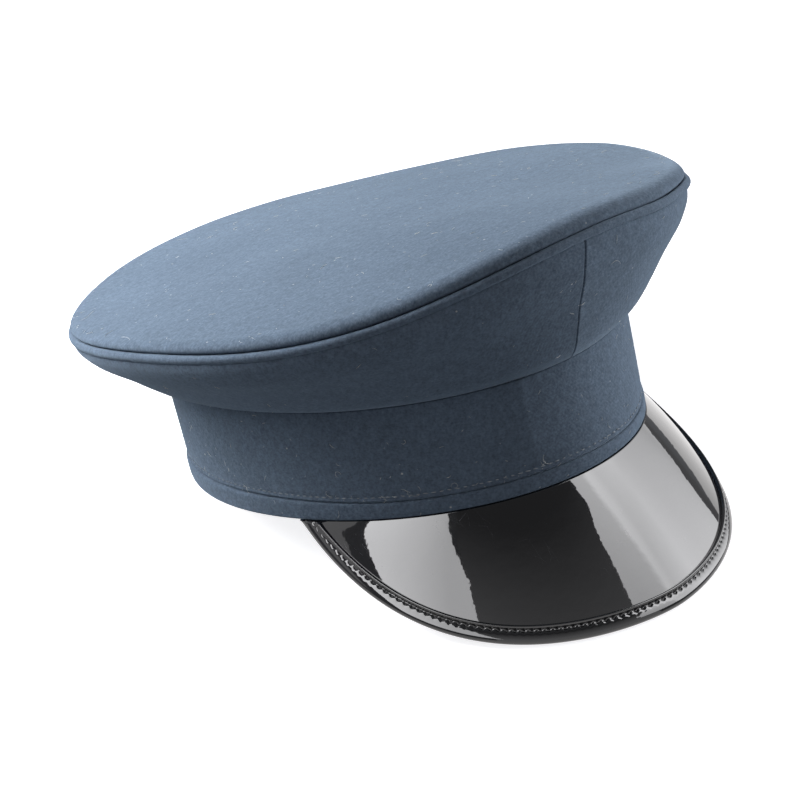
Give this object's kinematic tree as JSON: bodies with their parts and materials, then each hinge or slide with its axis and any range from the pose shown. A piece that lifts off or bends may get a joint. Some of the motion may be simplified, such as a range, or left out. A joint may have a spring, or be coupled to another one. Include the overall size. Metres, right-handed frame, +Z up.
{
  "type": "peaked service cap",
  "caption": "Peaked uniform cap with a wide padded crown, piped edge, plain cloth band with a stitched hem and a bound patent leather peak.",
  "frame": {"origin": "middle of the box that holds the cap, on the surface it rests on", "axes": "+X towards the wearer's left, +Y towards the back of the cap, +Z up from the surface; the peak points along -Y"},
  "size_m": [0.235, 0.2866, 0.1471],
  "materials": {
    "cloth": "matte brushed wool blend in blue-grey, with a fine nap and pale lint",
    "patent_leather": "black patent leather with a mirror-like lacquer"
  },
  "bodies": {
    "root": {"crown_top": "cloth", "crown_piping": "cloth", "crown_side_left": "cloth", "crown_side_right": "cloth", "band": "cloth", "band_hem": "cloth", "peak": "patent_leather", "peak_binding": "patent_leather"}
  },
  "joints": []
}
